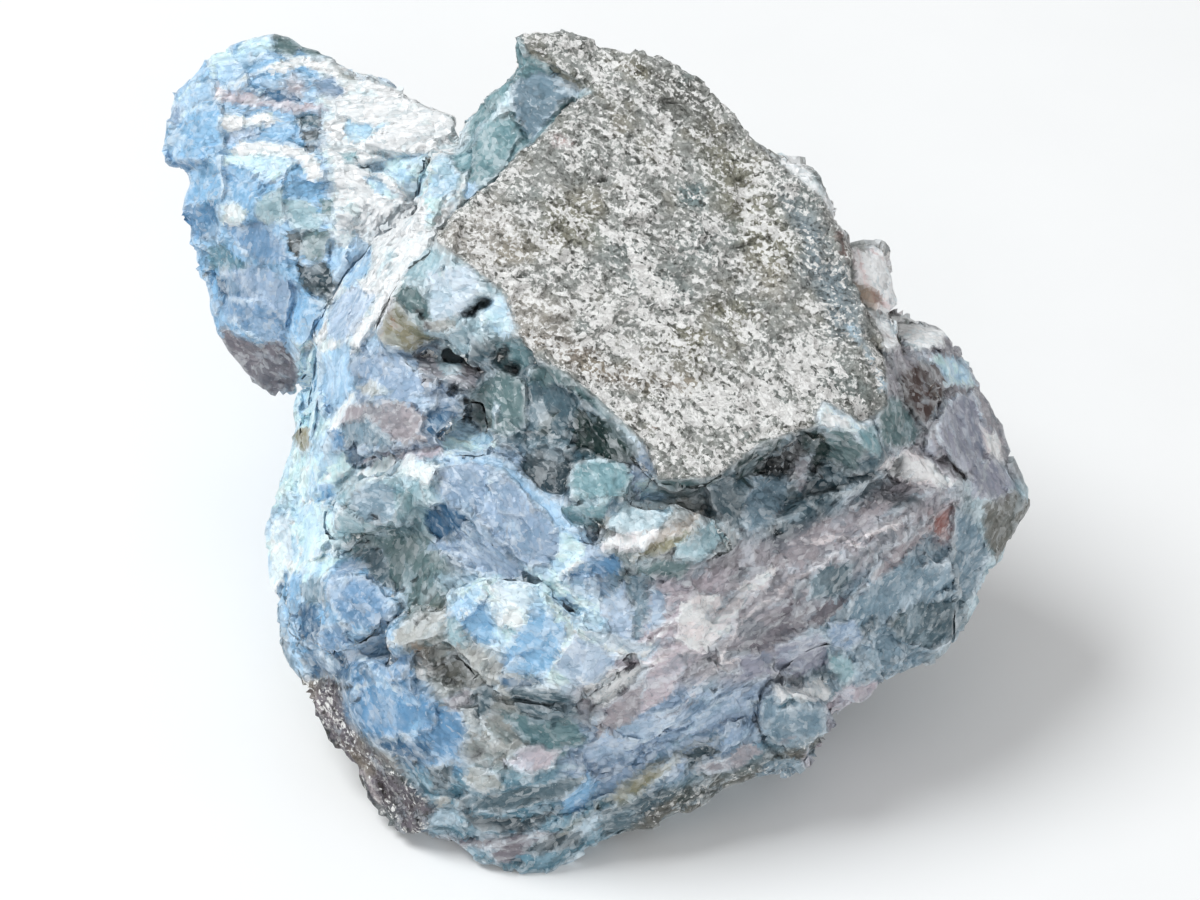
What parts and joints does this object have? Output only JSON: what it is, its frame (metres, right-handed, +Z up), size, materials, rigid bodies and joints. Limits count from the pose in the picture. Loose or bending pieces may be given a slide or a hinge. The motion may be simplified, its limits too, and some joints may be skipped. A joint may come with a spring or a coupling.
{
  "type": "larimar specimen",
  "caption": "Rough unpolished larimar: blue pectolite with white, green and pink zones, still joined to grey host rock, resting on a flat break.",
  "frame": {"origin": "middle of the footprint's bounding box, on the surface that the stone rests on", "axes": "+Z up, the display side towards -Y, the longest way across the stone along X"},
  "size_m": [0.0892, 0.0748, 0.0607],
  "materials": {
    "larimar": "rough fractured stone, waxy on the fresh breaks"
  },
  "bodies": {
    "root": {"larimar": "larimar"}
  },
  "joints": []
}
